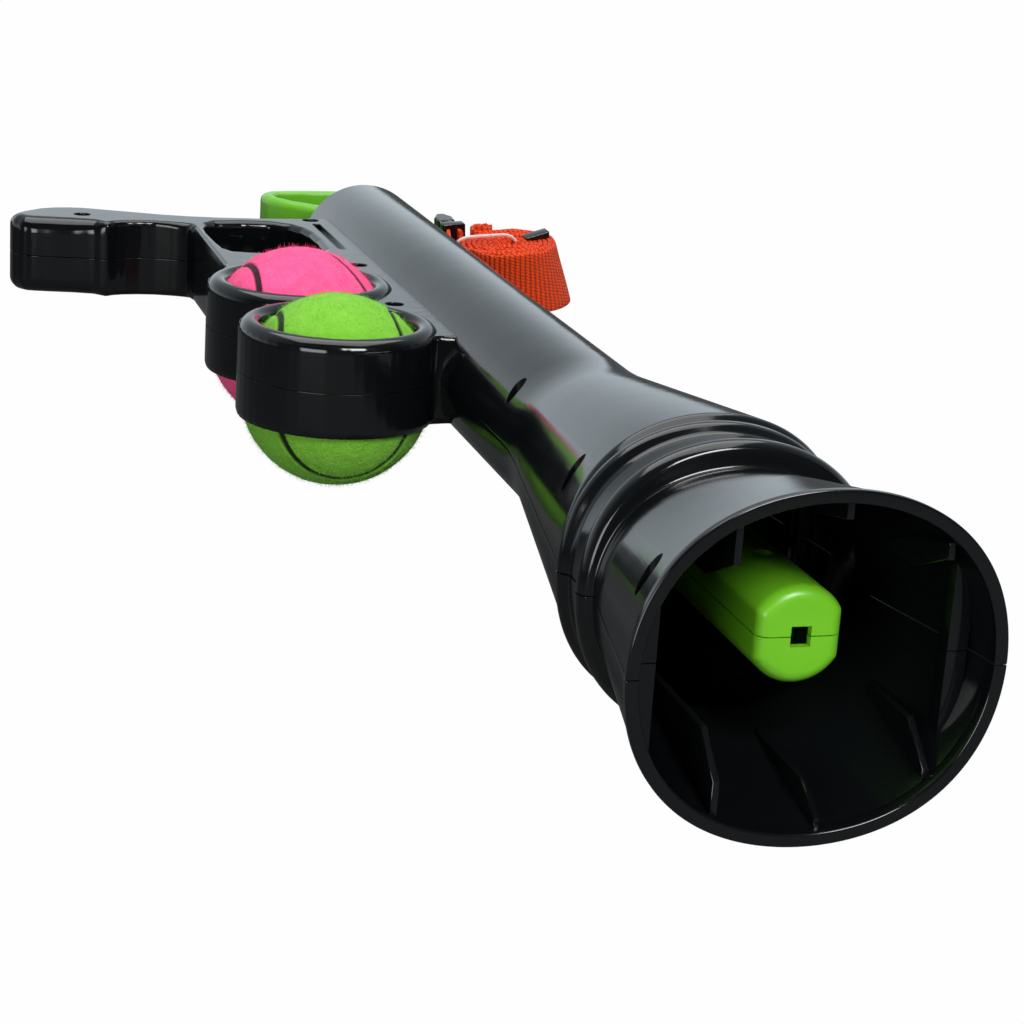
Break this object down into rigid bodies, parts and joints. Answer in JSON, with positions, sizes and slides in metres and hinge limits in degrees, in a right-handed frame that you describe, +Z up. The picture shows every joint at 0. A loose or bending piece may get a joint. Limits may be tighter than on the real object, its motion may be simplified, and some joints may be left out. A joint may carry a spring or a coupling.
{
  "type": "dog ball thrower",
  "caption": "Spring-driven dog ball launcher with flared muzzle, pull handle, pistol grip with trigger and cup holders for spare balls, lying on its side beside a rolled carrying strap.",
  "frame": {"origin": "on the ground, below the middle of the whole set's bounding box", "axes": "+Z up from the ground the launcher lies on; +Y back along the barrel, from the muzzle to the pull handle; -X towards the grip and the ball holders"},
  "size_m": [0.227, 0.5714, 0.0862],
  "materials": {
    "black_plastic": "gloss moulded plastic",
    "green_plastic": "gloss moulded plastic",
    "green_felt": "felt",
    "pink_felt": "felt",
    "steel": "zinc plated",
    "spring_steel": "oiled spring wire",
    "black_rubber": "matt rubber",
    "grey_plastic": "matt moulded plastic",
    "orange_webbing": "woven webbing",
    "clear_plastic": "clear tie"
  },
  "bodies": {
    "launcher": {"barrel_upper_shell": "black_plastic", "barrel_lower_shell": "black_plastic", "frame_upper_shell": "black_plastic", "frame_lower_shell": "black_plastic", "barrel_screw_1": "steel", "barrel_screw_2": "steel", "barrel_screw_3": "steel", "barrel_screw_4": "steel", "barrel_screw_5": "steel", "barrel_screw_6": "steel", "frame_screw_1": "steel", "frame_screw_2": "steel", "frame_screw_3": "steel", "frame_screw_4": "steel", "bumper_ring": "black_rubber", "spring_stop": "grey_plastic", "rear_guide": "black_plastic", "main_spring": "spring_steel", "trigger_pin": "steel", "trigger_spring": "spring_steel"},
    "plunger": {"plunger_upper_half": "green_plastic", "plunger_lower_half": "green_plastic", "plunger_screw_1": "steel", "plunger_screw_2": "steel", "draw_rod": "steel", "pull_handle": "green_plastic", "handle_pin": "steel"},
    "trigger": {"trigger": "black_plastic"},
    "catch": {"catch": "grey_plastic"},
    "front_ball": {"front_ball": "green_felt"},
    "rear_ball": {"rear_ball": "pink_felt"},
    "strap": {"strap_roll": "orange_webbing", "strap_tie": "clear_plastic", "strap_lead": "orange_webbing", "strap_slider": "black_plastic", "strap_hook": "black_plastic", "strap_end_clip": "black_plastic"}
  },
  "joints": [
    {"name": "draw", "type": "slide", "parent": "launcher", "child": "plunger", "axis": [0, 0.9994, -0.0356], "range_m": [0, 0.1], "stiffness_N_per_m": 350, "springref_m": -0.06, "deforming": ["main_spring"]},
    {"name": "trigger_squeeze", "type": "hinge", "parent": "launcher", "child": "trigger", "pos_m": [0.00432, 0.17358, 0.02874], "axis": [-0.0788, -0.0355, -0.9963], "range_deg": [0, 14], "stiffness_Nm_per_rad": 0.4, "springref_deg": -11.46},
    {"name": "catch_release", "type": "slide", "parent": "launcher", "child": "catch", "axis": [-0.9969, 0.0028, 0.0788], "range_m": [0, 0.0022]},
    {"name": "front_ball_out", "type": "slide", "parent": "launcher", "child": "front_ball", "axis": [-0.0788, -0.0355, -0.9963], "range_m": [0, 0.08]},
    {"name": "rear_ball_out", "type": "slide", "parent": "launcher", "child": "rear_ball", "axis": [-0.0788, -0.0355, -0.9963], "range_m": [0, 0.08]},
    {"name": "strap_lift", "type": "slide", "parent": "launcher", "child": "strap", "axis": [0, 0, 1], "range_m": [0, 0.1]}
  ],
  "couplings": [
    {"joint": "catch_release", "follows": "trigger_squeeze", "m_per_rad": 0.009}
  ]
}
